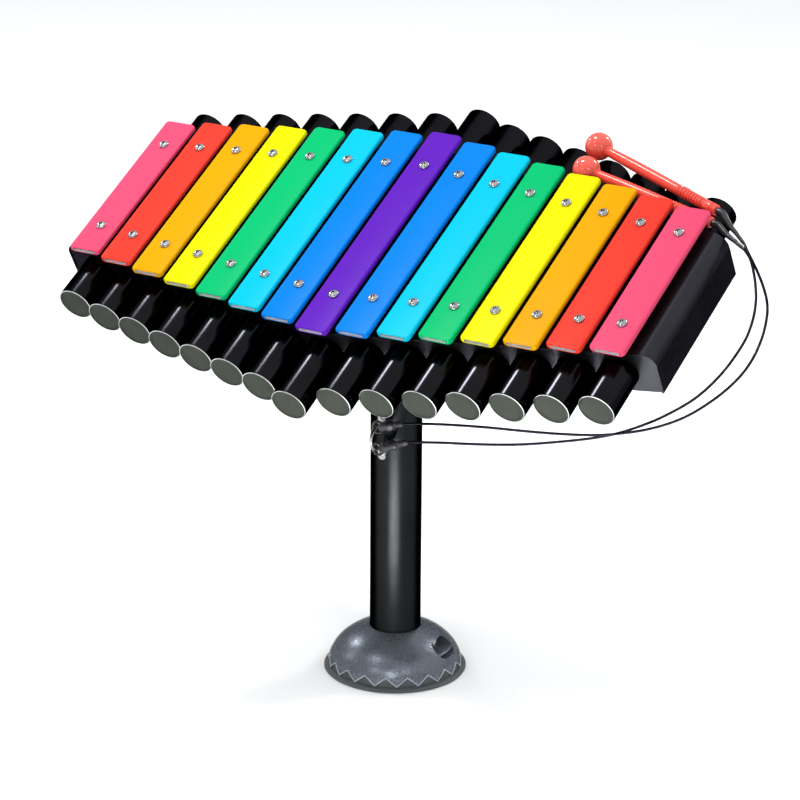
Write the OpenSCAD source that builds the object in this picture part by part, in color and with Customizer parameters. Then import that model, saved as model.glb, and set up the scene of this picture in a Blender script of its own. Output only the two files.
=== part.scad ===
// Outdoor post-mounted glockenspiel: fifteen colour-coded tone bars on a tilted
// box deck, one resonator tube under each bar, a floor post with a rubber base
// cover, and two mallets tethered to a pad eye on the post.
// The origin is the centre of the base on the floor. +Z is up and the player
// stands on the -Y side.

/* [Tone bars] */
// Distance between the centre lines of neighbouring bars
bar_pitch = 72; // [68:1:80]
// Width of a bar
bar_w = 62; // [50:1:62]
// Thickness of the flattened bar profile
bar_t = 10; // [9:0.5:12]
// Wall of the bar profile
bar_wall = 2; // [1.5:0.25:2.5]
// Length of the middle bar
bar_len_mid = 486; // [470:2:496]
// Change of length from one bar to the next, away from the middle
bar_len_step = 22; // [20:0.5:23]
// Corner radius of a bar in plan
bar_corner_r = 7; // [3:1:10]
// Corner radius of the bar profile
bar_edge_r = 3.5; // [2:0.5:4]
// Distance between the two screws of the middle bar
screw_span_mid = 320; // [300:2:330]
// Change of the screw distance from one bar to the next
screw_span_step = 15.4; // [12:0.2:18]

/* [Resonator tubes] */
// Outer diameter of a tube
tube_d = 63.5; // [56:0.5:64]
// Wall of a tube
tube_wall = 2.5; // [2:0.5:4]
// Depth of the tube axis below the bar tops
tube_depth = 68.5; // [68:0.5:70]
// Length of the outermost tubes
tube_len_end = 466; // [450:2:480]
// Change of length from one tube to the next
tube_len_step = 31; // [28:1:34]
// Extra length of the middle tube
tube_len_extra = 18; // [0:2:24]

/* [Deck] */
// Tilt of the deck towards the player
deck_tilt = 28.5; // [26:0.5:30]
// Height of the middle bar's top above the floor
deck_z = 808; // [780:4:860]
// Outer half width of the box
box_half_w = 570; // [568:1:576]
// Outer half depth of the box at its ends
box_half_d = 139; // [136:1:142]
// Radius of the rolled end edges
roll_r = 25; // [15:1:25]
// Sheet thickness of the box
sheet_t = 3; // [2:0.5:3]

/* [Post and base] */
// Outer diameter of the post
post_d = 88.9; // [80:0.1:90]
// Wall of the post
post_wall = 4; // [3:0.5:5]
// Diameter of the base skirt on the floor
base_d = 248; // [244:2:252]
// Bolt circle of the base plate
bolt_circle_d = 168; // [160:2:172]
// Diameter of the four anchor holes
anchor_hole_d = 14; // [12:1:16]
// Number of teeth round the foot of the base cover
tooth_count = 19; // [15:1:24]

/* [Mallets and tethers] */
// Diameter of a mallet ball
ball_d = 47; // [44:1:47]
// Largest diameter of a mallet handle
handle_d = 19.2; // [16:0.2:19.2]
// Diameter of a tether cable
tether_d = 4.5; // [4:0.25:5]

/* [Hidden] */
bar_count = 15;
mid = 7;
bar_numbers = ["01", "02", "03", "04", "05", "06", "07", "08",
               "09", "10", "11", "12", "13", "14", "15"];
$fn = 64;

// Colours of the bars, from the outermost to the middle one
bar_colours = ["hotpink", "tomato", "orange", "yellow",
               "mediumspringgreen", "cyan", "dodgerblue", "blueviolet"];
black = [0.06, 0.06, 0.07];
steel = [0.75, 0.76, 0.78];
rubber_grey = [0.25, 0.26, 0.28];
coral = [1.0, 0.33, 0.28];

// Deck frame: its origin is the top of the middle bar at its centre, X runs
// across the bars, Y along them towards the back and Z out of the deck.
deck_y = -57;

// Screw stack under each bar
screw_r = 5;
screw_head_r = 8.75;
screw_head_h = 5.5;
screw_reach = 36;
bush_r = 6.5;
spacer_r = 11;
deck_top = -24;
deck_bottom = deck_top - sheet_t;
nut_h = 8;
nut_r = 9.2;

// Box
box_bottom = -107;
pan_top = box_bottom + sheet_t;
end_slope = 0.153;
panel_inset = 2;
box_mid_d = box_half_d + end_slope * box_half_w;

// Post head
head_t = 8;
head_w = 110;
head_l = 184;
head_y = 7;
head_bolt_x = 36;
head_bolt_y = 74;

// Base
base_plate_t = 12;
base_plate_r = 102;
foot_h = 8;
dome_r = 116;
dome_h = 77;
dome_wall = 5;
dome_steps = 20;
foot_lap = 1.6;
skirt_top = 26;
skirt_steps = 4;
tooth_h = 17;
tooth_tip_w = 2.5;
cover_gap = 0.5;
pocket_turn = 6;
pocket_floor_x = 74;
pocket_w = 54;
pocket_z = 51;
pocket_h = 26;
pocket_wall = 4;
ledge_z = 45;
ledge_t = 2.5;
cover_screw_z = 55;
cover_screw_r = 4;
cover_screw_l = 36;

// Pad eye
eye_z = 442;
eye_half = 20;
eye_rod_r = 3;
eye_reach = 62;
eye_plate_l = 88;
eye_foot_l = 30;
eye_plate_w = 15;
eye_plate_t = 3;
eye_screw_dz = 33;

// Mallets, in the deck frame: centre of the ball and end of the handle
ball_r = ball_d / 2;
handle_r = handle_d / 2;
tube_top = tube_d / 2 - tube_depth;
rest_gap = 0.5;
ball_rest_z = tube_top + rest_gap + ball_r;
handle_rest_z = tube_top + rest_gap + handle_r;
mallet_1_ball = [271, 282.5, ball_rest_z];
mallet_1_end = [527, 193.5, handle_rest_z];
mallet_2_ball = [276, 224, ball_rest_z];
mallet_2_end = [531, 165, handle_rest_z];
ferrule_1_tip = [594, 146, -41];
ferrule_2_tip = [603, 127, -32];
ferrule_r = 6;
ferrule_tip_r = 3;
ferrule_straight = 10;
ferrule_cut = 40;

// Tethers, in the world frame: cable eyes round the bow, the crimps' outer ends,
// and each cable's route from its mallet to its crimp
crimp_1 = [54, -68, 479];
crimp_2 = [62, -64, 447];
eye_1 = [4.5, -66, 463];
eye_2 = [4.5, -66, 424];
eye_ring_r = 10;
tether_r = tether_d / 2;
tether_1_route = [
    [596, 89, 840], [604, 81, 834], [615, 75, 823], [628, 71, 806], [641, 67, 785],
    [650, 65, 761], [652, 63, 736], [646, 61, 700], [631, 58, 660], [608, 53, 624],
    [572, 45, 586], [527, 35, 551], [477, 25, 526], [425, 13, 510], [370, 1, 500],
    [290, -16, 494], [190, -38, 491], [110, -56, 486], crimp_1];
tether_2_route = [
    [605, 68, 839], [613, 65, 833], [619, 65, 823], [623, 67, 807], [626, 71, 782],
    [626, 75, 752], [621, 75, 718], [608, 72, 680], [576, 64, 626], [536, 54, 580],
    [488, 42, 544], [446, 32, 520], [408, 22, 503], [370, 12, 491], [320, 0, 479],
    [253, -17, 466], [185, -34, 458], [120, -50, 453], crimp_2];

function offset_of(n) = n - mid;
function steps_out(n) = abs(n - mid);
function bar_len(n) = bar_len_mid - bar_len_step * steps_out(n);
function screw_half(n) = (screw_span_mid - screw_span_step * steps_out(n)) / 2;
function tube_len(n) = tube_len_end + tube_len_step * (mid - steps_out(n))
    + (n == mid ? tube_len_extra : 0);

// Placement helpers
module on_deck() translate([0, deck_y, deck_z]) rotate([deck_tilt, 0, 0]) children();

module along(from, to) {
    way = to - from;
    translate(from)
        rotate([0, acos(way[2] / norm(way)), atan2(way[1], way[0])]) children();
}

module at_screws() {
    for (n = [0 : bar_count - 1], side = [-1, 1])
        translate([offset_of(n) * bar_pitch, side * screw_half(n), 0]) children();
}

module at_head_bolts() {
    for (sx = [-1, 1], sy = [-1, 1])
        translate([sx * head_bolt_x, head_y + sy * head_bolt_y, 0]) children();
}

// Shape helpers
module rounded_rect(w, h, r) {
    square([w - 2 * r, h], center = true);
    square([w, h - 2 * r], center = true);
    for (sx = [-1, 1], sy = [-1, 1])
        translate([sx * (w / 2 - r), sy * (h / 2 - r)]) circle(r);
}

module button_head(r, h, bore_r) {
    edge_h = h * 0.28;
    dome_pts = [for (a = [0 : 15 : 75]) [r * cos(a), edge_h + (h - edge_h) * sin(a)]];
    difference() {
        rotate_extrude() polygon(concat([[0, 0], [r, 0]], dome_pts, [[0, h]]));
        translate([0, 0, h - bore_r * 0.9]) cylinder(r = bore_r, h = bore_r);
    }
}

module box_plan(inset) {
    polygon([
        [-box_half_w, -box_half_d + inset], [0, -box_mid_d + inset],
        [box_half_w, -box_half_d + inset], [box_half_w, box_half_d - inset],
        [0, box_mid_d - inset], [-box_half_w, box_half_d - inset]]);
}

// Section across the box: flat top, rolled ends and straight cheeks
module box_section(inset, floor_z) {
    half = box_half_w - inset;
    top = deck_top - inset;
    r = roll_r - inset;
    translate([-half + r, top - r]) square([2 * (half - r), r]);
    translate([-half, floor_z]) square([2 * half, top - r - floor_z]);
    for (side = [-1, 1]) translate([side * (half - r), top - r]) circle(r);
}

module sweep_section(inset, floor_z) {
    translate([0, box_mid_d + 10, 0]) rotate([90, 0, 0])
        linear_extrude(2 * box_mid_d + 20) box_section(inset, floor_z);
}

module tube_cut(extra) {
    for (n = [0 : bar_count - 1])
        translate([offset_of(n) * bar_pitch, 0, -tube_depth]) rotate([90, 0, 0])
            cylinder(d = tube_d + extra, h = 2 * box_mid_d + 20, center = true);
}

// Tone bars
module tone_bar(n) {
    len = bar_len(n);
    color(bar_colours[mid - steps_out(n)])
    on_deck() translate([offset_of(n) * bar_pitch, 0, -bar_t]) difference() {
        intersection() {
            translate([0, len / 2, bar_t / 2]) rotate([90, 0, 0])
                linear_extrude(len) rounded_rect(bar_w, bar_t, bar_edge_r);
            translate([0, 0, -1]) linear_extrude(bar_t + 2)
                rounded_rect(bar_w + 0.02, len + 0.02, bar_corner_r);
        }
        translate([0, len / 2 + 1, bar_t / 2]) rotate([90, 0, 0]) linear_extrude(len + 2)
            rounded_rect(bar_w - 2 * bar_wall, bar_t - 2 * bar_wall, bar_edge_r - bar_wall / 2);
        for (side = [-1, 1]) translate([0, side * screw_half(n), -1])
            cylinder(r = bush_r, h = bar_t + 2);
    }
}

module bar_bushes() {
    color("white") on_deck() at_screws() translate([0, 0, -bar_t]) difference() {
        cylinder(r = bush_r, h = bar_t);
        translate([0, 0, -1]) cylinder(r = screw_r, h = bar_t + 2);
    }
}

module bar_screws() {
    color(steel) on_deck() at_screws() {
        button_head(screw_head_r, screw_head_h, 2.6);
        translate([0, 0, -screw_reach]) cylinder(r = screw_r, h = screw_reach);
    }
}

module bar_spacers() {
    color(black) on_deck() at_screws() translate([0, 0, deck_top]) difference() {
        cylinder(r = spacer_r, h = -bar_t - deck_top);
        translate([0, 0, -1]) cylinder(r = screw_r, h = -bar_t - deck_top + 2);
    }
}

module bar_nuts() {
    color(steel) on_deck() at_screws() translate([0, 0, deck_bottom - nut_h]) difference() {
        cylinder(r = nut_r, h = nut_h, $fn = 6);
        translate([0, 0, -1]) cylinder(r = screw_r, h = nut_h + 2);
    }
}

// Resonators
module resonator(n) {
    len = tube_len(n);
    color(black) on_deck() translate([offset_of(n) * bar_pitch, len / 2, -tube_depth])
        rotate([90, 0, 0]) difference() {
            cylinder(d = tube_d, h = len);
            translate([0, 0, -1]) cylinder(d = tube_d - 2 * tube_wall, h = len + 2);
        }
}

// Cap pressed into a tube end: a disc with a raised rim
module tube_cap() {
    r = tube_d / 2 - tube_wall;
    rotate_extrude() polygon([
        [0, 1.5], [r - 2, 1.5], [r - 1.5, 0.5], [r, 0.5], [r, 12], [r - 2, 12], [r - 2, 4], [0, 4]]);
}

module front_caps() {
    color(steel) on_deck() for (n = [0 : bar_count - 1])
        translate([offset_of(n) * bar_pitch, -tube_len(n) / 2, -tube_depth])
            rotate([-90, 0, 0]) tube_cap();
}

module rear_caps() {
    color(steel) on_deck() for (n = [0 : bar_count - 1])
        translate([offset_of(n) * bar_pitch, tube_len(n) / 2, -tube_depth])
            rotate([90, 0, 0]) tube_cap();
}

// Box
module top_deck() {
    color(black) on_deck() difference() {
        intersection() {
            sweep_section(0, box_bottom);
            translate([0, 0, box_bottom - 1]) linear_extrude(-box_bottom) box_plan(0);
        }
        sweep_section(sheet_t, box_bottom - 5);
        at_screws() translate([0, 0, deck_bottom - 1]) cylinder(r = screw_r, h = sheet_t + 2);
    }
}

module bottom_pan() {
    inner_half = box_half_w - sheet_t;
    color(black) on_deck() difference() {
        intersection() {
            translate([0, 0, box_bottom]) linear_extrude(sheet_t) box_plan(panel_inset);
            translate([-inner_half, -box_mid_d, box_bottom])
                cube([2 * inner_half, 2 * box_mid_d, sheet_t]);
        }
        at_head_bolts() translate([0, 0, box_bottom - 1]) cylinder(r = screw_r, h = sheet_t + 2);
    }
}

// Front or rear wall of the box, bored for the tubes
module box_wall(side) {
    difference() {
        intersection() {
            sweep_section(sheet_t, pan_top);
            translate([0, 0, box_bottom]) linear_extrude(-box_bottom) difference() {
                box_plan(panel_inset);
                box_plan(panel_inset + sheet_t);
                translate([-box_half_w, side > 0 ? -box_mid_d : 0])
                    square([2 * box_half_w, box_mid_d]);
            }
        }
        tube_cut(0);
    }
}

module front_panel() color(black) on_deck() box_wall(-1);

module rear_panel() color(black) on_deck() box_wall(1);

// Post and its fastenings
module post_head() {
    color(black) on_deck() difference() {
        translate([-head_w / 2, head_y - head_l / 2, box_bottom - head_t])
            cube([head_w, head_l, head_t]);
        at_head_bolts() translate([0, 0, box_bottom - head_t - 1])
            cylinder(r = screw_r, h = head_t + 2);
    }
}

module head_bolts() {
    color(steel) on_deck() at_head_bolts() {
        translate([0, 0, box_bottom - head_t]) rotate([180, 0, 0])
            button_head(screw_head_r, screw_head_h, 2.6);
        translate([0, 0, box_bottom - head_t]) cylinder(r = screw_r, h = head_t + sheet_t + nut_h);
    }
}

module head_nuts() {
    color(steel) on_deck() at_head_bolts() translate([0, 0, pan_top]) difference() {
        cylinder(r = nut_r, h = nut_h, $fn = 6);
        translate([0, 0, -1]) cylinder(r = screw_r, h = nut_h + 2);
    }
}

module post() {
    tall = deck_z;
    color(black) difference() {
        translate([0, 0, base_plate_t]) difference() {
            cylinder(d = post_d, h = tall);
            translate([0, 0, -1]) cylinder(d = post_d - 2 * post_wall, h = tall + 2);
        }
        on_deck() translate([-head_w, -box_mid_d, box_bottom - head_t])
            cube([2 * head_w, 2 * box_mid_d, tall]);
        for (side = [-1, 1]) translate([0, 0, eye_z + side * eye_screw_dz])
            rotate([90, 0, 0]) cylinder(r = 3, h = post_d);
        cover_screw_hole();
    }
}

module base_plate() {
    color(steel) difference() {
        cylinder(r = base_plate_r, h = base_plate_t);
        for (a = [45 : 90 : 315]) rotate(a) translate([bolt_circle_d / 2, 0, -1])
            cylinder(d = anchor_hole_d, h = base_plate_t + 2);
    }
}

// Point on the dome's elliptical profile, pulled in by an inset
function dome_point(a, inset) =
    [(dome_r - inset) * cos(a), foot_h + (dome_h - inset) * sin(a)];

// Profile angles at which the dome meets a given radius or height
function dome_angle_at_r(r, inset) = acos(r / (dome_r - inset));
function dome_angle_at_z(z, inset) = asin((z - foot_h) / (dome_h - inset));

module dome_solid(inset, hole_r) {
    top_a = dome_angle_at_r(hole_r, inset);
    pts = [for (k = [0 : dome_steps]) dome_point(top_a * k / dome_steps, inset)];
    rotate_extrude() polygon(concat([[hole_r, foot_h]], pts));
}

// Floor skirt: a low ring that the toothed foot of the cover laps over
module skirt_solid(inner_r) {
    top_a = dome_angle_at_z(skirt_top, foot_lap);
    lap = [for (k = [0 : skirt_steps]) dome_point(top_a * k / skirt_steps, foot_lap)];
    rotate_extrude() polygon(concat(
        [[inner_r, 0], [base_d / 2 - 3, 0], [base_d / 2, 2], [base_d / 2, 4],
         [base_d / 2 - 2, 6], [dome_r + 0.5, foot_h]],
        lap, [[inner_r, skirt_top]]));
}

module base_skirt() color(rubber_grey) skirt_solid(base_plate_r + 1);

// Screw hole from the cover's pocket into the post
module cover_screw_hole() {
    rotate(pocket_turn) translate([0, 0, cover_screw_z]) rotate([0, 90, 0])
        cylinder(r = cover_screw_r, h = dome_r);
}

// Round-ended block along the pocket, from a given distance outward
module pocket_block(from_x, grow) {
    round_r = pocket_h / 2 + grow;
    rotate(pocket_turn) translate([from_x, 0, pocket_z]) rotate([90, 0, 90]) linear_extrude(dome_r)
        hull() for (side = [-1, 1])
            translate([side * (pocket_w - pocket_h) / 2, 0]) circle(round_r);
}

module tooth_notches() {
    half_w = PI * dome_r / tooth_count - tooth_tip_w / 2;
    for (k = [0 : tooth_count - 1]) rotate((k + 0.5) * 360 / tooth_count)
        translate([base_plate_r, 0, foot_h]) rotate([90, 0, 90]) linear_extrude(base_d)
            polygon([[-half_w, -1], [half_w, -1], [0, tooth_h]]);
}

module base_cover() {
    post_r = post_d / 2 + cover_gap;
    color(rubber_grey) difference() {
        union() {
            difference() {
                dome_solid(0, post_r);
                dome_solid(dome_wall, post_r - dome_wall);
                skirt_solid(0);
                tooth_notches();
            }
            intersection() {
                dome_solid(dome_wall / 2, post_r);
                pocket_block(pocket_floor_x - pocket_wall, pocket_wall);
            }
        }
        difference() {
            pocket_block(pocket_floor_x, 0);
            translate([0, -dome_r, ledge_z]) cube([dome_r, 2 * dome_r, ledge_t]);
        }
        cover_screw_hole();
    }
}

module cover_screw() {
    color(steel) rotate(pocket_turn) translate([pocket_floor_x, 0, cover_screw_z]) rotate([0, 90, 0]) {
        button_head(7, 4.4, 2.2);
        translate([0, 0, -cover_screw_l]) cylinder(r = cover_screw_r, h = cover_screw_l);
    }
}

// Pad eye on the front of the post
module pad_eye() {
    color(steel) difference() {
        union() {
            for (side = [-1, 1])
                translate([0, -post_d / 2 + 2, eye_z + side * (eye_plate_l - eye_foot_l) / 2])
                    rotate([90, 0, 0]) linear_extrude(eye_plate_t + 2)
                        rounded_rect(eye_plate_w, eye_foot_l, eye_plate_w / 2 - 0.5);
            for (side = [-1, 1]) translate([0, -post_d / 2, eye_z + side * eye_half])
                rotate([90, 0, 0]) cylinder(r = eye_rod_r, h = eye_reach - post_d / 2);
            translate([0, -eye_reach, eye_z]) rotate([0, 90, 0]) rotate([0, 0, 180])
                rotate_extrude(angle = 180) translate([eye_half, 0]) circle(eye_rod_r);
        }
        cylinder(d = post_d, h = deck_z);
        for (side = [-1, 1]) translate([0, 0, eye_z + side * eye_screw_dz])
            rotate([90, 0, 0]) cylinder(r = 3, h = post_d);
    }
}

module pad_eye_screws() {
    color(steel) for (side = [-1, 1])
        translate([0, -post_d / 2 - eye_plate_t, eye_z + side * eye_screw_dz]) rotate([90, 0, 0]) {
            button_head(5.5, 3.2, 1.6);
            translate([0, 0, -14]) cylinder(r = 3, h = 14);
        }
}

// Cable eye round the pad eye's bow, with its heat-shrink sleeve and crimp
module cable_end(eye, crimp) {
    reach = norm(crimp - eye);
    translate(eye) rotate([90, 0, 0]) rotate_extrude() translate([eye_ring_r, 0]) circle(tether_r);
    along(eye, crimp) rotate_extrude() polygon([
        [0, eye_ring_r - 1.5], [5, eye_ring_r - 1.5], [7, eye_ring_r + 3], [7.5, eye_ring_r + 8],
        [6.5, reach - 16], [4.6, reach - 12], [4.6, reach - 3], [3, reach], [0, reach]]);
}

module crimp_sleeves() {
    color(black) {
        cable_end(eye_1, crimp_1);
        cable_end(eye_2, crimp_2);
    }
}

// A cable: one tube swept along a smooth curve through its route's points
cable_sides = 8;
cable_steps = 2;

function curve_point(a, b, c, d, t) = 0.5 * (2 * b + (c - a) * t
    + (2 * a - 5 * b + 4 * c - d) * t * t + (3 * b - a - 3 * c + d) * t * t * t);

function smooth_route(r) = let(last = len(r) - 1) concat(
    [for (i = [0 : last - 1], k = [0 : cable_steps - 1])
        curve_point(r[max(i - 1, 0)], r[i], r[i + 1], r[min(i + 2, last)], k / cable_steps)],
    [r[last]]);

module swept_cable(route, radius) {
    path = smooth_route(route);
    count = len(path);
    rings = [for (i = [0 : count - 1])
        let(way = path[min(i + 1, count - 1)] - path[max(i - 1, 0)],
            t = way / norm(way),
            s = cross(t, [0, 1, 0]) / norm(cross(t, [0, 1, 0])),
            u = cross(s, t))
        for (k = [0 : cable_sides - 1])
            path[i] + radius * (cos(k * 360 / cable_sides) * s + sin(k * 360 / cable_sides) * u)];
    sides = [for (i = [0 : count - 2], k = [0 : cable_sides - 1])
        let(a = i * cable_sides + k, b = i * cable_sides + (k + 1) % cable_sides)
        [a, a + cable_sides, b + cable_sides, b]];
    ends = [[for (k = [0 : cable_sides - 1]) k],
            [for (k = [cable_sides - 1 : -1 : 0]) (count - 1) * cable_sides + k]];
    polyhedron(rings, concat(sides, ends));
}

module tether_1() color(black) swept_cable(tether_1_route, tether_r);

module tether_2() color(black) swept_cable(tether_2_route, tether_r);

// Mallets, drawn along +Z from the centre of the ball
spigot_r = 6;
spigot_from = 4;
rib_count = 9;
rib_pitch = 6;
ribs_end = 26;
butt_r = 7.5;

module mallet_head(ball, end) {
    color(coral) on_deck() along(ball, end) difference() {
        sphere(ball_r);
        translate([0, 0, spigot_from]) cylinder(r = spigot_r, h = ball_r);
    }
}

module mallet_handle(ball, end) {
    reach = norm(end - ball);
    neck_z = ball_r;
    rib_start = reach - ribs_end - rib_count * rib_pitch;
    ribs = [for (k = [0 : rib_count - 1], step = [0 : 3])
        [handle_r - [0, 0, 1.1, 1.1][step], rib_start + rib_pitch * (k + [0.1, 0.5, 0.6, 1][step])]];
    color(coral) on_deck() along(ball, end) rotate_extrude() polygon(concat(
        [[0, spigot_from], [spigot_r, spigot_from], [spigot_r, neck_z - 0.8]],
        [[8.2, neck_z + 0.2], [7.9, neck_z + 6], [handle_r - 1, neck_z + 34],
         [handle_r - 0.2, neck_z + 90], [handle_r - 0.6, rib_start - 6]],
        ribs,
        [[handle_r, reach - ribs_end + 1], [handle_r, reach - 3], [butt_r, reach], [0, reach]]));
}

// Sleeve from the handle's end to the crimp on the cable, cut off at the handle's end plane
module mallet_ferrule(ball, end, tip) {
    way = (tip - end) / norm(tip - end);
    start = end - way * ferrule_r;
    long = norm(tip - start);
    color(black) on_deck() difference() {
        along(start, tip) rotate_extrude() polygon([
            [0, 0], [ferrule_r, 0], [ferrule_r, ferrule_r + ferrule_straight],
            [ferrule_tip_r, long], [0, long]]);
        along(end, ball) translate([-ferrule_cut / 2, -ferrule_cut / 2, 0]) cube(ferrule_cut);
    }
}

// Assembly
for (n = [0 : bar_count - 1]) {
    tone_bar(n);
    resonator(n);
}
front_caps();
rear_caps();
bar_screws();
bar_bushes();
bar_spacers();
bar_nuts();
top_deck();
bottom_pan();
front_panel();
rear_panel();
post_head();
head_bolts();
head_nuts();
post();
base_plate();
base_skirt();
base_cover();
cover_screw();
pad_eye();
pad_eye_screws();
crimp_sleeves();
tether_1();
tether_2();
mallet_head(mallet_1_ball, mallet_1_end);  // mallet_1_head
mallet_handle(mallet_1_ball, mallet_1_end);  // mallet_1_handle
mallet_ferrule(mallet_1_ball, mallet_1_end, ferrule_1_tip);  // mallet_1_ferrule
mallet_head(mallet_2_ball, mallet_2_end);  // mallet_2_head
mallet_handle(mallet_2_ball, mallet_2_end);  // mallet_2_handle
mallet_ferrule(mallet_2_ball, mallet_2_end, ferrule_2_tip);  // mallet_2_ferrule
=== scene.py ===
import math

import bmesh
import bpy
from mathutils import Matrix, Vector, noise


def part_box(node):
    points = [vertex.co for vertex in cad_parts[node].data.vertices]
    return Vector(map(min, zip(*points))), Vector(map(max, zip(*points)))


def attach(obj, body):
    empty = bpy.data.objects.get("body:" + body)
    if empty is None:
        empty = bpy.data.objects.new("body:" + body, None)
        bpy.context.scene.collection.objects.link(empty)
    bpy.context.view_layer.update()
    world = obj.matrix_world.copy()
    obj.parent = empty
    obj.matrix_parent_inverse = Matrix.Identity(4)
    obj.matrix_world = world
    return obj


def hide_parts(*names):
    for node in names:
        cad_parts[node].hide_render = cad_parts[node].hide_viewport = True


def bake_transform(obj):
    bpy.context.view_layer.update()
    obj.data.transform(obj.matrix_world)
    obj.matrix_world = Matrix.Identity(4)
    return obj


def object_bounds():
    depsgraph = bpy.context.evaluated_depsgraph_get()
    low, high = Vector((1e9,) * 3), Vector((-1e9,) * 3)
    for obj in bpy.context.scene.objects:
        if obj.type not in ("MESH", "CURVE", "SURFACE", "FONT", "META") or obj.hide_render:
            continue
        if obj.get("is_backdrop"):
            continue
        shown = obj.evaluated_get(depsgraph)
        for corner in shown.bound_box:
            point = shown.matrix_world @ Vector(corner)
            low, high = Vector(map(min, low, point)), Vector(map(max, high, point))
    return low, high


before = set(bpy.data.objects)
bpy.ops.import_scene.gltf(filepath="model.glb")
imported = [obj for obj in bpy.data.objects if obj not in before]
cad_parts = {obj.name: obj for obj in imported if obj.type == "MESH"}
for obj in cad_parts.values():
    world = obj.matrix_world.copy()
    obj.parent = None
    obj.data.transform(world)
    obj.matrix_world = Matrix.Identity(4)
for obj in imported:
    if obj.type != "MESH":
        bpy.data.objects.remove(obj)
cad_low, cad_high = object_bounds()

TAU = 2 * math.pi
COLOURS = ["pink", "red", "orange", "yellow", "green", "cyan", "blue", "purple"]


# ---------------------------------------------------------------- places
def corners(node):
    """Lowest corner, highest corner and middle of a node's box."""
    low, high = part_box(node)
    return low, high, (low + high) / 2


TILT = math.radians(28.5)
NORMAL = Vector((0, -math.sin(TILT), math.cos(TILT)))
BAR_T = 0.010
DECK = Matrix.Translation(corners("tone_bar_08")[2] + NORMAL * BAR_T / 2) @ Matrix.Rotation(TILT, 4, "X")
TO_DECK = DECK.inverted()


def deck_box(node, points=None):
    """Lowest and highest corner of a node's vertices in the tilted deck frame."""
    points = points or [v.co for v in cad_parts[node].data.vertices]
    local = [TO_DECK @ p for p in points]
    return (Vector(min(p[k] for p in local) for k in range(3)),
            Vector(max(p[k] for p in local) for k in range(3)))


def solids(node):
    """The vertices of each separate solid in a node."""
    bm = bmesh.new()
    bm.from_mesh(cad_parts[node].data)
    bmesh.ops.remove_doubles(bm, verts=bm.verts, dist=2e-5)
    left, groups = set(bm.verts), []
    while left:
        todo, group = [left.pop()], []
        while todo:
            v = todo.pop()
            group.append(v.co.copy())
            for e in v.link_edges:
                o = e.other_vert(v)
                if o in left:
                    left.discard(o)
                    todo.append(o)
        groups.append(group)
    bm.free()
    return sorted(groups, key=lambda g: tuple(round(c, 4) for c in sum(g, Vector()) / len(g)))


# ---------------------------------------------------------------- materials
def material(name, base, rough, metallic=0.0, specular=0.5, coat=0.0, tint=0.04, tint_scale=6.0,
             rough_spread=0.06, bump=0.0, bump_scale=400.0, speck=None, stretch=None, edge=1.0):
    """A procedural surface: slow colour variation, uneven roughness, fine bump and optional specks."""
    m = bpy.data.materials.new(name)
    m.use_nodes = True
    tree = m.node_tree
    shader = tree.nodes["Principled BSDF"]
    shader.inputs["Metallic"].default_value = metallic
    shader.inputs["Specular IOR Level"].default_value = specular
    shader.inputs["Coat Weight"].default_value = coat
    shader.inputs["Coat Roughness"].default_value = 0.12
    shader.inputs["Specular Tint"].default_value = (edge, edge, edge, 1)

    def node(kind, **values):
        n = tree.nodes.new(kind)
        for k, v in values.items():
            if k in n.inputs:
                n.inputs[k].default_value = v
            else:
                setattr(n, k, v)
        return n

    where = node("ShaderNodeTexCoord").outputs["Object"]
    if stretch:
        mapping = node("ShaderNodeMapping")
        mapping.inputs["Scale"].default_value = stretch
        tree.links.new(where, mapping.inputs["Vector"])
        where = mapping.outputs["Vector"]

    def noise_at(scale, detail=3.0):
        n = node("ShaderNodeTexNoise", Scale=scale, Detail=detail)
        tree.links.new(where, n.inputs["Vector"])
        return n.outputs["Fac"]

    def mixed(factor, a, b):
        mix = node("ShaderNodeMix", data_type="RGBA")
        tree.links.new(factor, mix.inputs["Factor"])
        for socket, value in ((mix.inputs[6], a), (mix.inputs[7], b)):
            if hasattr(value, "links"):
                tree.links.new(value, socket)
            else:
                socket.default_value = (*value, 1)
        return mix.outputs[2]

    dark = [max(0.0, c * (1 - tint)) for c in base]
    light = [min(1.0, c * (1 + tint) + 0.002) for c in base]
    colour = mixed(noise_at(tint_scale), dark, light)
    if speck:
        spots = node("ShaderNodeTexNoise", Scale=speck["scale"], Detail=2.0)
        tree.links.new(where, spots.inputs["Vector"])
        cut = node("ShaderNodeMapRange")
        cut.inputs["From Min"].default_value = speck["low"]
        cut.inputs["From Max"].default_value = speck["high"]
        tree.links.new(spots.outputs["Fac"], cut.inputs["Value"])
        colour = mixed(cut.outputs["Result"], colour, speck["colour"])
    tree.links.new(colour, shader.inputs["Base Color"])
    spread = node("ShaderNodeMapRange")
    spread.inputs["To Min"].default_value = max(0.02, rough - rough_spread)
    spread.inputs["To Max"].default_value = rough + rough_spread
    tree.links.new(noise_at(tint_scale * 7), spread.inputs["Value"])
    tree.links.new(spread.outputs["Result"], shader.inputs["Roughness"])
    if bump:
        relief = node("ShaderNodeBump", Strength=0.6, Distance=bump)
        tree.links.new(noise_at(bump_scale, 2.0), relief.inputs["Height"])
        tree.links.new(relief.outputs["Normal"], shader.inputs["Normal"])
    return m


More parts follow.
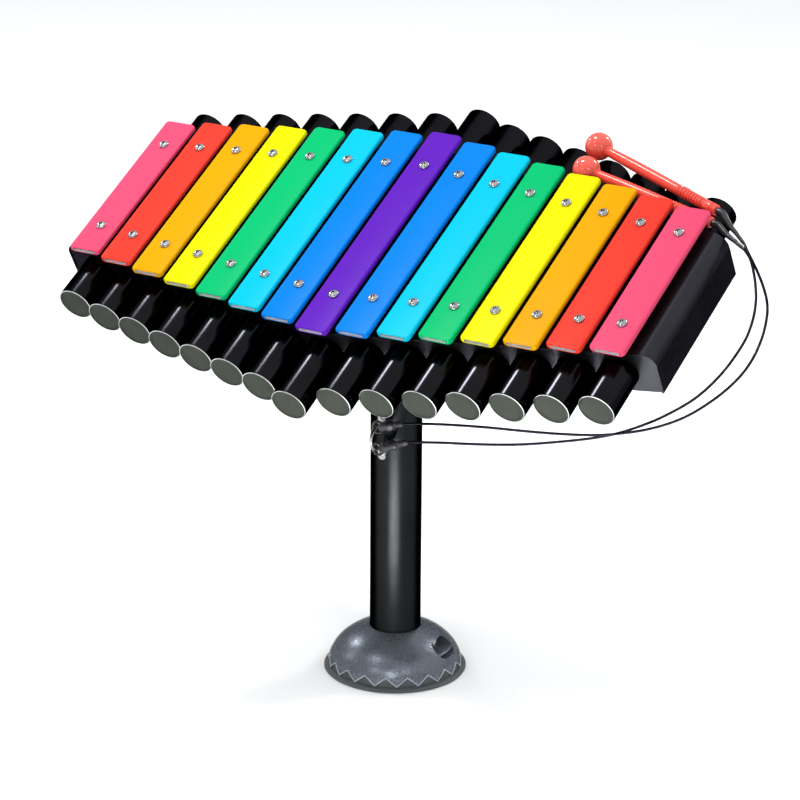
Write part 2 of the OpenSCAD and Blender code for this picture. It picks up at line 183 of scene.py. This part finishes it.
PAINT = {"pink": (0.63, 0.062, 0.134), "red": (0.63, 0.038, 0.023), "orange": (0.63, 0.292, 0.0),
         "yellow": (0.63, 0.60, 0.0), "green": (0.0, 0.390, 0.125), "cyan": (0.0, 0.42, 0.60),
         "blue": (0.0, 0.165, 0.60), "purple": (0.090, 0.011, 0.365)}
paint = {c: material("paint_" + c, PAINT[c], 0.30, specular=0.02, tint=0.03, tint_scale=5,
                     bump=0.00012, bump_scale=260) for c in COLOURS}
bare_aluminium = material("bare_aluminium", (0.80, 0.80, 0.82), 0.42, metallic=0.1, tint=0.12, tint_scale=60,
                          bump=0.0001, bump_scale=500, stretch=(6, 1, 1))
cut_edge = material("cut_edge", (0.66, 0.67, 0.68), 0.28, edge=0.5, metallic=1.0, tint=0.08, tint_scale=90)
tube_black = material("tube_black", (0.012, 0.012, 0.014), 0.15, metallic=1.0, edge=0.05, tint=0.25,
                      tint_scale=14, rough_spread=0.02, bump=0.00004, bump_scale=300)
frame_black = material("frame_black", (0.034, 0.034, 0.040), 0.36, metallic=1.0, edge=0.15, tint=0.25,
                       tint_scale=12, bump=0.00018, bump_scale=420)
post_black = material("post_black", (0.0135, 0.0145, 0.0155), 0.24, metallic=1.0, edge=0.0, tint=0.25,
                      tint_scale=16, bump=0.00015, bump_scale=420)
cap_metal = material("cap_metal", (0.024, 0.028, 0.022), 0.5, specular=0.06, tint=0.16, tint_scale=38,
                     rough_spread=0.1, bump=0.0001, bump_scale=160, stretch=(5, 1, 1))
stainless = material("stainless", (0.36, 0.36, 0.36), 0.24, metallic=1.0, tint=0.10, tint_scale=120,
                     rough_spread=0.08, bump=0.00006, bump_scale=900)
# dark screw recesses: painted shade inside the six-lobe recess, not the steel's own colour
recess_painted_shade = material("recess_painted_shade", (0.05, 0.05, 0.05), 0.5, metallic=0.7, tint=0.2, tint_scale=200)
nylon = material("nylon", (0.72, 0.72, 0.68), 0.5, tint=0.05, tint_scale=60, bump=0.0001)
spacer_rubber = material("spacer_rubber", (0.014, 0.014, 0.014), 0.75, specular=0.2, tint=0.2, tint_scale=80,
                         bump=0.0002, bump_scale=300)
zinc_steel = material("zinc_steel", (0.55, 0.56, 0.58), 0.4, metallic=1.0, tint=0.12, tint_scale=30)
cover_rubber = material("cover_rubber", (0.115, 0.128, 0.150), 0.28, metallic=0.6, specular=0.2, edge=0.12,
                        tint=0.30, tint_scale=30, rough_spread=0.06, bump=0.0004, bump_scale=330,
                        speck={"scale": 420, "low": 0.58, "high": 0.70, "colour": (0.24, 0.26, 0.30)})
skirt_rubber = material("skirt_rubber", (0.055, 0.064, 0.066), 0.55, specular=0.35, tint=0.16, tint_scale=26,
                        bump=0.0003, bump_scale=420,
                        speck={"scale": 620, "low": 0.62, "high": 0.75, "colour": (0.11, 0.125, 0.13)})
# pale grey of the tooth bead: a painted highlight where the cover's tooth edges catch light
tooth_bead_painted_highlight = material("tooth_bead_painted_highlight", (0.42, 0.46, 0.48), 0.45, tint=0.3, tint_scale=55, bump=0.0002)
sleeve_black = material("sleeve_black", (0.016, 0.016, 0.019), 0.32, specular=0.35, tint=0.35, tint_scale=90,
                        rough_spread=0.1, bump=0.0006, bump_scale=170)
cable_black = material("cable_black", (0.016, 0.016, 0.022), 0.30, metallic=1.0, edge=0.3, tint=0.3,
                       tint_scale=120, bump=0.0001, bump_scale=500)
mallet_rubber = material("mallet_rubber", (0.74, 0.082, 0.052), 0.14, specular=0.5, coat=0.35, tint=0.06,
                         tint_scale=18, rough_spread=0.04, bump=0.00005, bump_scale=200)
mallet_plastic = material("mallet_plastic", (0.76, 0.064, 0.038), 0.27, specular=0.42, tint=0.05,
                          tint_scale=16, rough_spread=0.05, bump=0.00008, bump_scale=220)


# ---------------------------------------------------------------- mesh building
def ring(centre, across, up, radius, count, shape=None):
    """Points round a centre; shape(angle) scales the radius."""
    out = []
    for k in range(count):
        a = TAU * k / count
        r = radius * (shape(a) if shape else 1.0)
        out.append(centre + across * (r * math.cos(a)) + up * (r * math.sin(a)))
    return out


def skin(bm, rings, mats=None, cap_start=True, cap_end=True, closed=False):
    """Joins rings of points by quads. mats gives the material index of each band."""
    rows = [[bm.verts.new(p) for p in r] for r in rings]
    pairs = list(zip(rows, rows[1:]))
    if closed:
        pairs.append((rows[-1], rows[0]))
    for b, (r0, r1) in enumerate(pairs):
        n = len(r0)
        for k in range(n):
            f = bm.faces.new((r0[k], r0[(k + 1) % n], r1[(k + 1) % n], r1[k]))
            f.material_index = mats[b] if mats else 0
    if not closed:
        for row, wanted, m in ((rows[0], cap_start, 0), (rows[-1], cap_end, -1)):
            if wanted:
                f = bm.faces.new(row)
                f.material_index = mats[m] if mats else 0


def turned_axes(place):
    """The X and Y directions of a placing matrix."""
    turn = place.to_3x3()
    return (turn @ Vector((1, 0, 0))).normalized(), (turn @ Vector((0, 1, 0))).normalized()


def lathe(bm, profile, place, count=48, mats=None, shapes=None, **caps):
    """Rings along place's Z axis from (radius, height) pairs."""
    across, up = turned_axes(place)
    rings = [ring(place @ Vector((0, 0, z)), across, up, r, count, shapes[i] if shapes else None)
             for i, (r, z) in enumerate(profile)]
    skin(bm, rings, mats, **caps)


def finish_mesh(bm, name, materials, body="root", nodes=(), sharp=35.0, ride=True):
    """Makes the object of a mesh, smooth up to the sharp angle, tied to its body; hides the CAD nodes it
    replaces.
    """
    bmesh.ops.recalc_face_normals(bm, faces=bm.faces)
    for f in bm.faces:
        f.smooth = True
    for e in bm.edges:
        if len(e.link_faces) == 2:
            e.smooth = e.calc_face_angle(0.0) < math.radians(sharp)
    mesh = bpy.data.meshes.new(name)
    bm.to_mesh(mesh)
    bm.free()
    for m in materials:
        mesh.materials.append(m)
    obj = bpy.data.objects.new(name, mesh)
    bpy.context.scene.collection.objects.link(obj)
    if ride:
        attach(obj, body)
    if nodes:
        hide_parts(*nodes)
    return obj


def aim(origin, direction):
    """A matrix at origin whose Z axis points along direction."""
    z = direction.normalized()
    return Matrix.Translation(origin) @ z.to_track_quat("Z", "Y").to_matrix().to_4x4()


def catmull(points, steps):
    out = []
    last = len(points) - 1
    for i in range(last):
        a, b, c, d = points[max(i - 1, 0)], points[i], points[i + 1], points[min(i + 2, last)]
        for k in range(steps):
            t = k / steps
            out.append(0.5 * (2 * b + (c - a) * t + (2 * a - 5 * b + 4 * c - d) * t * t
                              + (3 * b - a - 3 * c + d) * t ** 3))
    out.append(points[last].copy())
    return out


def carried_frames(path):
    """(point, across, up) along a path, turned as little as possible from ring to ring."""
    frames, across = [], None
    for i, p in enumerate(path):
        way = (path[min(i + 1, len(path) - 1)] - path[max(i - 1, 0)]).normalized()
        if across is None:
            across = way.orthogonal().normalized()
        across = (across - way * across.dot(way)).normalized()
        frames.append((p, across, way.cross(across)))
    return frames


def path_length(path):
    return sum((b - a).length for a, b in zip(path, path[1:]))


# ---------------------------------------------------------------- camera
camera = bpy.data.objects.new("camera", bpy.data.cameras.new("camera"))
bpy.context.scene.collection.objects.link(camera)
CAMERA_AT = (2.684, -4.362, 2.285)
camera.data.lens = 143.5
camera.data.sensor_width = 36
camera.data.clip_end = 100
azimuth, elevation, roll = math.radians(31.54), math.radians(19.30), math.radians(0.384)
back = Vector((math.sin(azimuth) * math.cos(elevation), -math.cos(azimuth) * math.cos(elevation),
               math.sin(elevation)))
right = Vector((math.cos(azimuth), math.sin(azimuth), 0))
above = back.cross(right)
right, above = (right * math.cos(roll) + above * math.sin(roll),
                above * math.cos(roll) - right * math.sin(roll))
turned = Matrix((right, above, back)).transposed()
camera.matrix_world = Matrix.Translation(CAMERA_AT) @ turned.to_4x4()
bpy.context.scene.camera = camera

# ---------------------------------------------------------------- tethers
TETHER_D = 0.0045
ROUTES = {
    1: [(596, 89, 840), (604, 81, 834), (615, 75, 823), (628, 71, 806), (641, 67, 785),
        (650, 65, 761), (652, 63, 736), (646, 61, 700), (631, 58, 660), (608, 53, 624),
        (572, 45, 586), (527, 35, 551), (477, 25, 526), (425, 13, 510), (370, 1, 500),
        (290, -16, 494), (190, -38, 491), (110, -56, 486), (54, -68, 479)],
    2: [(605, 68, 839), (613, 65, 833), (619, 65, 823), (623, 67, 807), (626, 71, 782),
        (626, 75, 752), (621, 75, 718), (608, 72, 680), (576, 64, 626), (536, 54, 580),
        (488, 42, 544), (446, 32, 520), (408, 22, 503), (370, 12, 491), (320, 0, 479),
        (253, -17, 466), (185, -34, 458), (120, -50, 453), (62, -64, 447)],
}


def strand_shape(turn):
    """Section of a coated seven-strand rope: six shallow lobes that wind along it."""
    return lambda a: 1.0 + 0.035 * abs(math.cos(3 * (a + turn)))


def tether(number):
    route = [Vector(p) / 1000 for p in reversed(ROUTES[number])]
    path = catmull(route, 22)
    bm = bmesh.new()
    rings, gone = [], 0.0
    for i, (p, across, up) in enumerate(carried_frames(path)):
        if i:
            gone += (path[i] - path[i - 1]).length
        rings.append(ring(p, across, up, TETHER_D / 2, 18, strand_shape(gone * 60)))
    skin(bm, rings)
    obj = finish_mesh(bm, f"tether_{number}_cable", [cable_black], nodes=[f"tether_{number}"],
                      ride=False, sharp=60)
    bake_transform(obj)
    return obj, path


cables = {n: tether(n) for n in (1, 2)}

# ---------------------------------------------------------------- cable ends at the pad eye
LOOP_R = 0.010
SLEEVE_SHARE, GAP_SHARE, BEVEL_SHARE = 0.62, 0.66, 0.90


def cable_end(number, group):
    """A loop of cable round the pad eye, its wrinkled heat-shrink sleeve and the crimp."""
    crimp = Vector(ROUTES[number][-1]) / 1000
    west = min(p.x for p in group)
    loop_points = [p for p in group if p.x < west + 0.004]
    loop_z = sum(p.z for p in loop_points) / len(loop_points)
    loop_y = sum(p.y for p in loop_points) / len(loop_points)
    eye = Vector((west + LOOP_R + TETHER_D / 2, loop_y, loop_z))
    way = crimp - eye
    place = aim(eye, way)
    reach = way.length
    bm = bmesh.new()
    loops = []
    for k in range(48):
        a = TAU * k / 48
        out = Vector((math.cos(a), 0, math.sin(a)))
        loops.append(ring(eye + out * LOOP_R, out, Vector((0, 1, 0)), TETHER_D / 2, 14, strand_shape(k * 0.5)))
    skin(bm, loops, closed=True)
    across, up = turned_axes(place)
    rings = []
    steps = 60
    for i in range(steps + 1):
        t = i / steps
        z = 0.004 + (reach - 0.004) * t
        if t < SLEEVE_SHARE:
            swell = 0.0060 + 0.0032 * math.sin(math.pi * t / SLEEVE_SHARE) ** 0.6
        elif t < GAP_SHARE:
            swell = 0.0046
        else:
            swell = 0.0056 if t < BEVEL_SHARE else 0.0056 - 0.024 * (t - BEVEL_SHARE)
        centre = place @ Vector((0, 0, z))
        points = ring(centre, across, up, swell, 28)
        rough = []
        for p in points:
            crease = noise.noise(Vector((p.x * 160, p.y * 160, p.z * 420 + number * 7)))
            depth = 0.0016 if t < SLEEVE_SHARE else 0.0004
            rough.append(p + (p - centre).normalized() * crease * depth)
        rings.append(rough)
    skin(bm, rings)
    return finish_mesh(bm, f"crimp_{number}_sleeve", [sleeve_black], sharp=50)


groups = sorted(solids("crimp_sleeves"), key=lambda g: -sum(p.z for p in g) / len(g))
for number, group in zip((1, 2), groups):
    cable_end(number, group)
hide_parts("crimp_sleeves")


# ---------------------------------------------------------------- tone bars
def profile_ring(half_w, low, high, r, y, count=6):
    """Rounded rectangle in the deck's XZ plane, as points in the deck frame."""
    out = []
    for cx, cz, start in ((half_w - r, high - r, 0), (-half_w + r, high - r, 90),
                          (-half_w + r, low + r, 180), (half_w - r, low + r, 270)):
        for k in range(count + 1):
            a = math.radians(start + 90 * k / count)
            out.append(Vector((cx + r * math.cos(a), y, cz + r * math.sin(a))))
    return out


def tone_bar(number, colour):
    """A hollow bar with rounded edges and corners; its ends are painted rims round a bore of bare metal."""
    node = f"tone_bar_{number:02d}"
    low, high = deck_box(node)
    cx, half_w, half_l = (low.x + high.x) / 2, (high.x - low.x) / 2, (high.y - low.y) / 2
    corner, lip, wall = 0.0065, 0.0007, 0.0020
    edge_r, bore_r = 0.0036, 0.0022
    near = [0.0, 0.0003, 0.0007, 0.0016, 0.0028, 0.0042, corner]
    stations = [-half_l + d for d in near] + [half_l - d for d in reversed(near)]
    outer, inner = [], []
    for y in stations:
        d = half_l - abs(y)
        round_in = corner - math.sqrt(max(0.0, corner ** 2 - (corner - min(d, corner)) ** 2))
        edge_in = lip - math.sqrt(max(0.0, lip ** 2 - (lip - min(d, lip)) ** 2))
        w = half_w - round_in
        shift = Vector((cx, 0, 0))
        outer.append([DECK @ (p + shift) for p in
                      profile_ring(w - edge_in, low.z + edge_in, high.z - edge_in, edge_r - edge_in / 2, y)])
        inner.append([DECK @ (p + shift) for p in
                      profile_ring(w - wall, low.z + wall, high.z - wall, bore_r, y)])
    bm = bmesh.new()
    bands = len(outer) - 1
    skin(bm, outer + inner[::-1], [0] * (bands + 1) + [1] * bands + [0], closed=True)
    finish_mesh(bm, f"bar_{number:02d}", [paint[colour], bare_aluminium],
                nodes=[node], sharp=48)


for i in range(15):
    tone_bar(i + 1, COLOURS[7 - abs(i - 7)])


# ---------------------------------------------------------------- screws
def six_lobe(a):
    return 1.0 + 0.17 * math.cos(6 * a)


def head_profile(r, h, recess):
    edge = h * 0.26
    dome = [(r * math.cos(math.radians(a)), edge + (h - edge) * math.sin(math.radians(a)))
            for a in (4, 12, 20, 28, 36, 44, 52, 59, 65)]
    outer = [(r * 0.97, 0.0), (r, 0.0003), (r, edge)] + dome
    floor = h - recess * 0.95
    hole = [(recess * 1.04, h * 0.985), (recess, h * 0.95), (recess * 0.98, floor), (recess * 0.42, floor),
            (recess * 0.40, h * 0.80), (recess * 0.28, h * 0.86)]
    return outer, hole


def screw(bm, place, r, h, recess, shaft_r, shaft_l, turn=0.0):
    outer, hole = head_profile(r, h, recess)
    profile = [(shaft_r, -shaft_l), (shaft_r, 0.0)] + outer + hole
    lobed = lambda a: six_lobe(a + turn)
    shapes = [None] * (2 + len(outer)) + [lobed, lobed, lobed, None, None, None]
    mats = [0] * (len(profile) - 1)
    # the recess walls and floor take the dark material, which is painted shade
    mats[-4] = mats[-3] = 1
    lathe(bm, profile, place, 36, mats, shapes)


def screw_set(node, name, r, h, recess, shaft_r, shaft_l, place_of):
    bm = bmesh.new()
    for k, group in enumerate(solids(node)):
        screw(bm, place_of(group), r, h, recess, shaft_r, shaft_l, turn=k * 0.37)
    finish_mesh(bm, name, [stainless, recess_painted_shade], nodes=[node], sharp=40)


def deck_seat(z):
    """Places a fastener on the deck frame at height z, over the middle of its solid."""
    def place(group):
        low, high = deck_box(None, group)
        return DECK @ Matrix.Translation(((low.x + high.x) / 2, (low.y + high.y) / 2, z))
    return place


screw_set("bar_screws", "bar_screw_heads", 0.00875, 0.0055, 0.0030, 0.005, 0.036, deck_seat(0.0))


def eye_screw_seat(group):
    y = min(p.y for p in group)
    return aim(Vector((0, y + 0.0032, sum(p.z for p in group) / len(group))), Vector((0, -1, 0)))


screw_set("pad_eye_screws", "pad_eye_screw_heads", 0.0055, 0.0032, 0.0019, 0.003, 0.014, eye_screw_seat)


def cover_screw_seat(group):
    x = max(p.x for p in group)
    z = (min(p.z for p in group) + max(p.z for p in group)) / 2
    y = sum(p.y for p in group if p.x > x - 0.002) / len([p for p in group if p.x > x - 0.002])
    out = Vector((x, y, 0)).normalized()
    return aim(Vector((x, y, z)) - out * 0.0044, out)


screw_set("cover_screw", "cover_screw_head", 0.007, 0.0044, 0.0024, 0.004, 0.036, cover_screw_seat)


# ---------------------------------------------------------------- resonators and caps
def resonator(number):
    """An open tube with rounded ends; the rim is bare metal and its inside edge takes the cap's colour."""
    node = f"resonator_{number:02d}"
    low, high = deck_box(node)
    r = (high.x - low.x) / 2
    cx, cz, half = (low.x + high.x) / 2, (low.z + high.z) / 2, (high.y - low.y) / 2
    place = DECK @ Matrix.Translation((cx, 0, cz)) @ Matrix.Rotation(-math.pi / 2, 4, "X")
    wall, lip = 0.0025, 0.0017
    arc = [(r - lip + lip * math.cos(math.radians(a)), half - lip + lip * math.sin(math.radians(a)))
           for a in (0, 18, 36, 54, 72, 90)]
    end = arc + [(r - wall + 0.0003, half), (r - wall, half - 0.0004), (r - wall, half - 0.004)]
    profile = [(q, -z) for q, z in end[::-1]] + end
    edge = [0] * 3 + [1] * (len(arc) - 4) + [2] * 3
    across, up = turned_axes(place)
    bm = bmesh.new()
    skin(bm, [ring(place @ Vector((0, 0, z)), across, up, q, 72) for q, z in profile],
         edge[::-1] + [0] + edge + [0], closed=True)
    finish_mesh(bm, f"tube_{number:02d}", [tube_black, cut_edge, cap_metal], nodes=[node],
                sharp=40)


for i in range(15):
    resonator(i + 1)


def caps(node, name, side):
    """Turned discs pressed into the tube ends: a shallow lip, faint turning rings and a small centre mark."""
    bm = bmesh.new()
    for group in solids(node):
        low, high = deck_box(None, group)
        r = (high.x - low.x) / 2
        outside = low.y if side < 0 else high.y
        base = DECK @ Matrix.Translation(((low.x + high.x) / 2, outside, (low.z + high.z) / 2))
        place = base @ Matrix.Rotation(math.pi / 2 * (1 if side < 0 else -1), 4, "X")
        face_r, face_z = r - 0.0020, -0.0008
        profile = [(r, -0.011), (r, -0.0006), (r - 0.0006, 0.0), (r - 0.0012, -0.0001), (face_r, face_z)]
        for k in range(1, 8):
            profile.append((face_r * (1 - k / 8), face_z - 0.00012 * (k % 2)))
        lathe(bm, profile, place, 64)
    finish_mesh(bm, name, [cap_metal], nodes=[node], sharp=50)


caps("front_caps", "front_tube_caps", -1)
caps("rear_caps", "rear_tube_caps", 1)


# ---------------------------------------------------------------- mallets
def handle_end(node, ball):
    """The middle of a handle's far end face, away from the ball."""
    points = [v.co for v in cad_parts[node].data.vertices]
    way = (sum(points, Vector()) / len(points) - ball).normalized()
    far = max(p.dot(way) for p in points)
    tip = {tuple(round(c, 5) for c in p) for p in points if p.dot(way) > far - 0.0012}
    return sum((Vector(p) for p in tip), Vector()) / len(tip)


def mallet_ball(body, place, r):
    """A moulded ball, open where the handle goes in, with a faint seam round its middle."""
    bm = bmesh.new()
    profile = []
    for k in range(33):
        a = math.pi * (k + 0.5) / 33.5
        q, z = r * math.sin(a), -r * math.cos(a)
        seam = 1 - 0.006 * math.exp(-((k - 16) / 0.7) ** 2)
        profile.append((q * seam, z))
        if z > 0 and q < 0.0092:
            break
    lathe(bm, profile, place, 56)
    finish_mesh(bm, body + "_ball", [mallet_rubber], body, [body + "_head"], sharp=60)


def mallet_shaft(body, place, r, reach):
    """A tapered handle with a collar at the ball, a ribbed grip and two rings at its far end."""
    neck = math.sqrt(r * r - 0.0086 ** 2)
    handle_r = 0.0096
    rib_pitch, rib_count, plain = 0.006, 9, 0.026
    rib_foot, rib_rise = 0.0074, 0.0022
    rib_start = reach - plain - rib_pitch * rib_count
    collar = [(0.0065, neck - 0.004), (0.0101, neck - 0.0006), (0.0099, neck + 0.0008),
              (0.0088, neck + 0.0022), (0.0081, neck + 0.005)]
    stem = [(0.0080, neck + 0.010), (0.0083, neck + 0.020), (0.0087, neck + 0.034), (0.0091, neck + 0.055),
            (0.0094, neck + 0.080), (0.0094, neck + 0.110), (0.0092, rib_start - 0.008),
            (0.0090, rib_start - 0.002)]
    profile = collar + stem
    for k in range(rib_count):
        for t in (step / 8 for step in range(8)):
            bulge = rib_rise * math.sin(math.pi * t) ** 0.6
            profile.append((rib_foot + bulge, rib_start + rib_pitch * (k + t)))
    stop = rib_start + rib_pitch * rib_count
    profile += [(0.0084, stop + 0.0006), (0.0092, stop + 0.0022), (0.0093, reach - 0.0125)]
    for base in (reach - 0.0120, reach - 0.0060):
        for t in (step / 6 for step in range(7)):
            profile.append((0.0075 + 0.0021 * math.sin(math.pi * t) ** 0.7, base + 0.0058 * t))
    profile += [(0.0070, reach)]
    profile = [(min(q, handle_r), z) for q, z in profile]
    bm = bmesh.new()
    lathe(bm, profile, place, 40)
    finish_mesh(bm, body + "_shaft", [mallet_plastic], body, [body + "_handle"], sharp=70)


def mallet_sleeve(body, end, way, cable):
    """A tapering wrinkled sleeve from the handle's end to the cable's tip."""
    tip = cable[-1]
    out = (tip - cable[-8]).normalized()
    route = [end - way * 0.006, end + way * 0.004, end + way * 0.014, end.lerp(tip, 0.42) + way * 0.003,
             end.lerp(tip, 0.66) + way * 0.003, end.lerp(tip, 0.86) + way * 0.0012, tip + out * 0.0012]
    path = catmull(route, 10)
    wide, shrink, wrinkle = 0.0062, 0.0030, 0.00035
    rings, gone = [], 0.0
    total = path_length(path)
    for i, (p, across, up) in enumerate(carried_frames(path)):
        if i:
            gone += (path[i] - path[i - 1]).length
        t = gone / total
        q = wide if t < 0.12 else wide - shrink * min(1.0, (t - 0.12) / 0.70)
        if t > 0.90:
            q = 0.0034 - 0.0010 * (t - 0.90) / 0.10
        rough = []
        for c in ring(p, across, up, q, 24):
            crease = noise.noise(Vector((c.x * 120, c.y * 120, c.z * 300)))
            rough.append(c + (c - p).normalized() * wrinkle * crease)
        rings.append(rough)
    bm = bmesh.new()
    skin(bm, rings)
    finish_mesh(bm, body + "_sleeve", [sleeve_black], body, [body + "_ferrule"], sharp=60)


for number, (_, cable) in cables.items():
    body = f"mallet_{number}"
    low, high, ball = corners(body + "_head")
    r = (high.z - low.z) / 2
    end = handle_end(body + "_handle", ball)
    place = aim(ball, end - ball)
    mallet_ball(body, place, r)
    mallet_shaft(body, place, r, (end - ball).length)
    mallet_sleeve(body, end, (end - ball).normalized(), cable)

# ---------------------------------------------------------------- base cover bead: its pale grey is a painted highlight of the tooth edges
low, high, _ = corners("base_cover")
foot = low.z
dome_r = max(high.x, -low.x)
dome_h = 0.077
TEETH, TOOTH_H = 19, 0.017
BEAD_R = 0.0010
TOOTH_STEPS = 16


def on_dome(angle, z, out=0.0):
    """A point of the cover's surface at a height, moved outwards by out."""
    r = dome_r * math.sqrt(max(0.0, 1 - ((z - foot) / dome_h) ** 2)) + out
    return Vector((r * math.cos(angle), r * math.sin(angle), z))


bm = bmesh.new()
rings = []
steps = TEETH * TOOTH_STEPS
for i in range(steps):
    a = TAU * i / steps
    share = (i / TOOTH_STEPS) % 1.0
    rise = (1 - abs(2 * share - 1)) ** 0.9
    z = foot + 0.0012 + (TOOTH_H - 0.0018) * rise
    centre = on_dome(a, z, 0.0002)
    way = (on_dome(a + 0.01, z, 0.0) - on_dome(a - 0.01, z, 0.0)).normalized()
    outward = Vector((math.cos(a), math.sin(a), 0.25)).normalized()
    rings.append(ring(centre, outward, way.cross(outward), BEAD_R, 8))
skin(bm, rings, closed=True)
# the bead's pale grey paints the highlight of the tooth edges
finish_mesh(bm, "cover_tooth_bead_painted_highlight", [tooth_bead_painted_highlight], sharp=80)

# ---------------------------------------------------------------- CAD nodes that stay
KEPT = {"bar_bushes": nylon, "bar_spacers": spacer_rubber, "bar_nuts": stainless, "top_deck": frame_black,
        "bottom_pan": frame_black, "front_panel": frame_black, "rear_panel": frame_black,
        "post_head": post_black, "head_bolts": stainless, "head_nuts": stainless, "post": post_black,
        "base_plate": zinc_steel, "base_skirt": skirt_rubber, "base_cover": cover_rubber, "pad_eye": stainless}
for node, m in KEPT.items():
    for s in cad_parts[node].material_slots:
        s.material = m

# ---------------------------------------------------------------- floor and light
bm = bmesh.new()
bmesh.ops.create_grid(bm, x_segments=1, y_segments=1, size=60)
floor_mesh = bpy.data.meshes.new("floor")
bm.to_mesh(floor_mesh)
bm.free()
floor = bpy.data.objects.new("floor", floor_mesh)
bpy.context.scene.collection.objects.link(floor)
floor.location.z = min(0.0, cad_low.z)
floor_paper = material("floor_paper", (0.96, 0.96, 0.96), 0.9, specular=0.1, tint=0.01, tint_scale=2)
floor_mesh.materials.append(floor_paper)
floor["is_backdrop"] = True

world = bpy.data.worlds.new("studio")
bpy.context.scene.world = world
world.use_nodes = True
world.node_tree.nodes["Background"].inputs["Color"].default_value = (0.95, 0.97, 1.0, 1)
world.node_tree.nodes["Background"].inputs["Strength"].default_value = 0.62


def direction_of(azimuth, elevation):
    a, e = math.radians(azimuth), math.radians(elevation)
    return Vector((math.sin(a) * math.cos(e), -math.cos(a) * math.cos(e), math.sin(e)))


def soft_box(name, azimuth, elevation, width, height, power, target=(0.1, 0, 0.55), distance=4.2):
    data = bpy.data.lights.new(name, "AREA")
    data.shape = "RECTANGLE"
    data.size, data.size_y, data.energy = width, height, power
    obj = bpy.data.objects.new(name, data)
    bpy.context.scene.collection.objects.link(obj)
    obj.location = Vector(target) + direction_of(azimuth, elevation) * distance
    obj.rotation_mode = "QUATERNION"
    obj.rotation_quaternion = direction_of(azimuth, elevation).to_track_quat("Z", "Y")


def sun(name, azimuth, elevation, strength, angle):
    data = bpy.data.lights.new(name, "SUN")
    data.energy, data.angle = strength, math.radians(angle)
    obj = bpy.data.objects.new(name, data)
    bpy.context.scene.collection.objects.link(obj)
    obj.rotation_mode = "QUATERNION"
    obj.rotation_quaternion = direction_of(azimuth, elevation).to_track_quat("Z", "Y")


FOOT = (0, 0, 0.05)
DECK_FRONT = (-0.30, -0.20, 0.70)
sun("right_light", 120, 62, 0.85, 95)
soft_box("box_front_left", -7, 26, 0.34, 0.34, 11)
soft_box("box_front_right", 50, 26, 0.34, 0.34, 11)
soft_box("strip_left", -73, 24, 0.2, 1.6, 14)
soft_box("strip_right", 150, 24, 0.2, 1.6, 8)
soft_box("foot_front", 24, 22, 0.20, 0.16, 3.2, FOOT, 1.3)
soft_box("foot_left", -100, 39, 0.40, 0.40, 30, FOOT)
soft_box("foot_right", 154, 41, 0.40, 0.40, 30, FOOT)
soft_box("foot_high_left", -24, 58, 0.40, 0.40, 16, FOOT)
soft_box("overhead", -98, 72, 0.55, 0.70, 120, DECK_FRONT)
low_spot = bpy.data.lights.new("floor_bounce", "SPOT")
low_spot.energy, low_spot.spot_size = 720, math.radians(48)
low_spot.spot_blend, low_spot.shadow_soft_size = 1.0, 0.1
low_spot_obj = bpy.data.objects.new("floor_bounce", low_spot)
bpy.context.scene.collection.objects.link(low_spot_obj)
low_spot_obj.location = (0.32, -0.74, 0.88)

bpy.context.scene.view_settings.view_transform = "Standard"

bpy.context.view_layer.update()
low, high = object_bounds()
